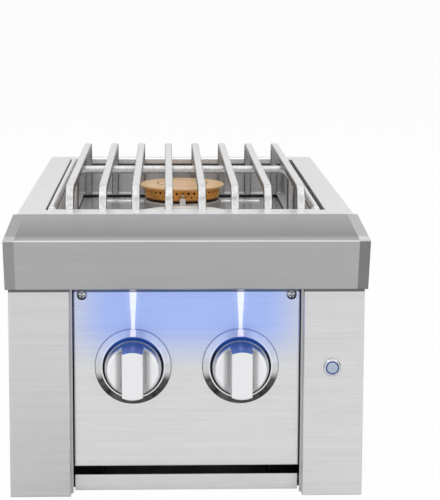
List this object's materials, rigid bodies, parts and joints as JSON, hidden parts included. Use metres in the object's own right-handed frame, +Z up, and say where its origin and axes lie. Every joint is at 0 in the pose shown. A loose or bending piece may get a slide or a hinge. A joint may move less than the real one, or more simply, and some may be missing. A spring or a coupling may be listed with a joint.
{
  "type": "double side burner",
  "caption": "Built-in outdoor gas side burner: round burners in line under a bar grate, a faceted front cap, push-and-turn knobs in conical bezels and a lit push switch.",
  "frame": {"origin": "middle of the footprint at the underside of the base", "axes": "+Z up, -Y towards the user and the knobs, +X to the user's right"},
  "size_m": [0.3404, 0.6004, 0.2815],
  "materials": {
    "post_steel": "brushed, grain upright",
    "panel_steel": "brushed, grain upright",
    "rail_steel": "brushed",
    "box_steel": "mill finish sheet",
    "cap_steel": "brushed, grain along the cap",
    "deck_steel": "brushed",
    "pan_steel": "bright rolled sheet",
    "tray_steel": "bright rolled sheet",
    "grate_steel": "satin bar",
    "bowl_casting": "as cast",
    "ring_brass": "machined, heat darkened",
    "cap_brass": "turned, bright",
    "tube_steel": "drawn tube",
    "igniter_ceramic": "glazed",
    "electrode_steel": "heat-dulled wire",
    "lead_sleeve": "silicone sleeve",
    "screw_steel": "bright screw",
    "knob_metal": "satin anodised",
    "bezel_metal": "satin turned",
    "stem_steel": "ground",
    "spring_steel": "spring wire",
    "valve_brass": "machined",
    "spark_plastic": "moulded",
    "gas_pipe": "black pipe",
    "lamp_plastic": "moulded",
    "lamp_glass": "lit lens",
    "switch_metal": "polished",
    "light_ring": "lit ring",
    "grommet_rubber": "moulded"
  },
  "bodies": {
    "chassis": {"left_post": "post_steel", "right_post": "post_steel", "left_side_wall": "box_steel", "right_side_wall": "box_steel", "rear_wall": "box_steel", "base_pan": "rail_steel", "control_panel": "panel_steel", "panel_cross_member": "box_steel", "front_cap": "cap_steel", "top_deck": "deck_steel", "burner_pan": "pan_steel", "drip_tray": "tray_steel", "left_tray_ledge": "box_steel", "right_tray_ledge": "box_steel", "front_burner_bowl": "bowl_casting", "rear_burner_bowl": "bowl_casting", "front_burner_ring": "ring_brass", "rear_burner_ring": "ring_brass", "front_burner_cap": "cap_brass", "rear_burner_cap": "cap_brass", "front_mixing_tube": "tube_steel", "rear_mixing_tube": "tube_steel", "front_igniter_ceramic": "igniter_ceramic", "rear_igniter_ceramic": "igniter_ceramic", "igniter_electrodes": "electrode_steel", "igniter_leads": "lead_sleeve", "burner_screws": "screw_steel", "left_bezel": "bezel_metal", "right_bezel": "bezel_metal", "left_valve_body": "valve_brass", "right_valve_body": "valve_brass", "valve_jets": "valve_brass", "spark_units": "spark_plastic", "manifold_pipe": "gas_pipe", "manifold_plug": "gas_pipe", "inlet_elbow": "gas_pipe", "inlet_pipe": "gas_pipe", "inlet_locknut": "valve_brass", "manifold_brackets": "box_steel", "lamp_bodies": "lamp_plastic", "lamp_lenses": "lamp_glass", "switch_body": "switch_metal", "switch_light_ring": "light_ring", "switch_spring": "spring_steel", "switch_nut": "switch_metal", "panel_screws": "screw_steel", "ledge_screws": "screw_steel", "rear_wall_screws": "screw_steel", "cable_grommet": "grommet_rubber"},
    "left_valve_core": {"left_valve_plug": "valve_brass"},
    "right_valve_core": {"right_valve_plug": "valve_brass"},
    "left_knob": {"left_knob": "knob_metal", "left_valve_stem": "stem_steel", "left_valve_spring": "spring_steel"},
    "right_knob": {"right_knob": "knob_metal", "right_valve_stem": "stem_steel", "right_valve_spring": "spring_steel"},
    "switch_button": {"switch_button": "switch_metal"},
    "grate": {"grate": "grate_steel"}
  },
  "joints": [
    {"name": "left_knob_turn", "type": "hinge", "parent": "chassis", "child": "left_valve_core", "pos_m": [-0.0508, -0.24015, 0.1256], "axis": [0, -1, 0], "range_deg": [0, 200]},
    {"name": "left_knob_push", "type": "slide", "parent": "left_valve_core", "child": "left_knob", "axis": [0, 1, 0], "range_m": [0, 0.0045], "stiffness_N_per_m": 1200, "springref_m": -0.003, "deforming": ["left_valve_spring"]},
    {"name": "right_knob_turn", "type": "hinge", "parent": "chassis", "child": "right_valve_core", "pos_m": [0.0508, -0.24015, 0.1256], "axis": [0, -1, 0], "range_deg": [0, 200]},
    {"name": "right_knob_push", "type": "slide", "parent": "right_valve_core", "child": "right_knob", "axis": [0, 1, 0], "range_m": [0, 0.0045], "stiffness_N_per_m": 1200, "springref_m": -0.003, "deforming": ["right_valve_spring"]},
    {"name": "switch_press", "type": "slide", "parent": "chassis", "child": "switch_button", "axis": [0, 1, 0], "range_m": [0, 0.002], "stiffness_N_per_m": 800, "springref_m": -0.0015, "deforming": ["switch_spring"]},
    {"name": "grate_lift", "type": "slide", "parent": "chassis", "child": "grate", "axis": [0, 0, 1], "range_m": [0, 0.12]}
  ]
}
